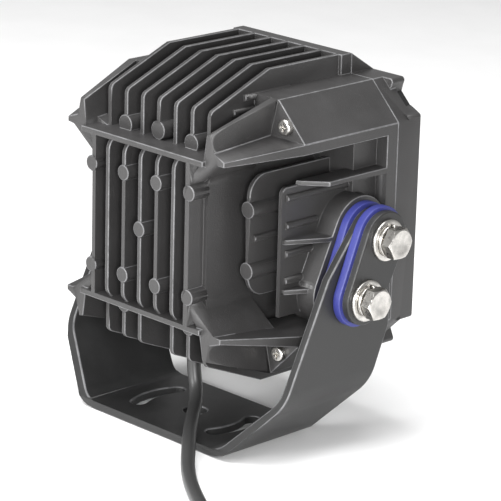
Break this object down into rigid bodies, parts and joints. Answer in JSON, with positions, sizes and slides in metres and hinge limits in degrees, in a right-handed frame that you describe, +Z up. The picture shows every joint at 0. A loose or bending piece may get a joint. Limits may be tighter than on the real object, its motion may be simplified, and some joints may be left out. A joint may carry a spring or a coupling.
{
  "type": "LED work flood lamp",
  "caption": "Square finned flood lamp in a tilting U-bracket, with damper pads, clamping bolts and a cable lead ending in a connector.",
  "frame": {"origin": "centre of the bracket's mounting hole, on the underside of its base, where it meets the surface it is bolted to", "axes": "+X across the lamp along the tilt axis, -Y the way the light leaves, +Z up out of the bracket's base"},
  "size_m": [0.2849, 0.281, 0.2075],
  "materials": {
    "bracket_coat": "satin",
    "plate_coat": "satin",
    "housing_coat": "satin",
    "black_rubber": "matte",
    "lens_glass": "gloss",
    "grey_pad": "matte",
    "board_core": "satin",
    "led_yellow": "satin",
    "reflector_bright": "polished",
    "board_green": "satin",
    "component_black": "matte",
    "stainless": "satin",
    "black_plastic": "satin",
    "cable_sheath": "satin",
    "tinned_contact": "satin",
    "wedge_plastic": "satin",
    "blue_pad": "satin"
  },
  "bodies": {
    "bracket": {"bracket": "bracket_coat", "power_cable": "cable_sheath", "plug_body": "black_plastic", "plug_seal": "black_rubber", "plug_sockets": "tinned_contact", "plug_wedge": "wedge_plastic"},
    "head": {"housing": "housing_coat", "front_bezel": "housing_coat", "lens_gasket": "black_rubber", "lens": "lens_glass", "thermal_pad": "grey_pad", "led_board": "board_core", "led_chips": "led_yellow", "reflector_tray": "reflector_bright", "light_unit_screws": "stainless", "driver_board": "board_green", "driver_components": "component_black", "driver_screws": "stainless", "case_screws": "stainless", "vent_plug": "black_plastic", "gland_body": "black_plastic", "gland_nut": "black_plastic", "gland_seal": "black_rubber", "supply_lead": "cable_sheath", "inner_pad_left": "blue_pad", "inner_pad_right": "blue_pad", "outer_pad_left": "blue_pad", "outer_pad_right": "blue_pad", "clamp_plate_left": "plate_coat", "clamp_plate_right": "plate_coat", "pivot_sleeves": "stainless", "pivot_bolts": "stainless", "clamp_sleeves": "stainless", "clamp_bolts": "stainless", "plain_washers": "stainless", "spring_washers": "stainless"}
  },
  "joints": [
    {"name": "tilt", "type": "hinge", "parent": "bracket", "child": "head", "pos_m": [0, -0.0448, 0.1195], "axis": [1, 0, 0], "range_deg": [-12, 12], "deforming": ["power_cable"]}
  ]
}
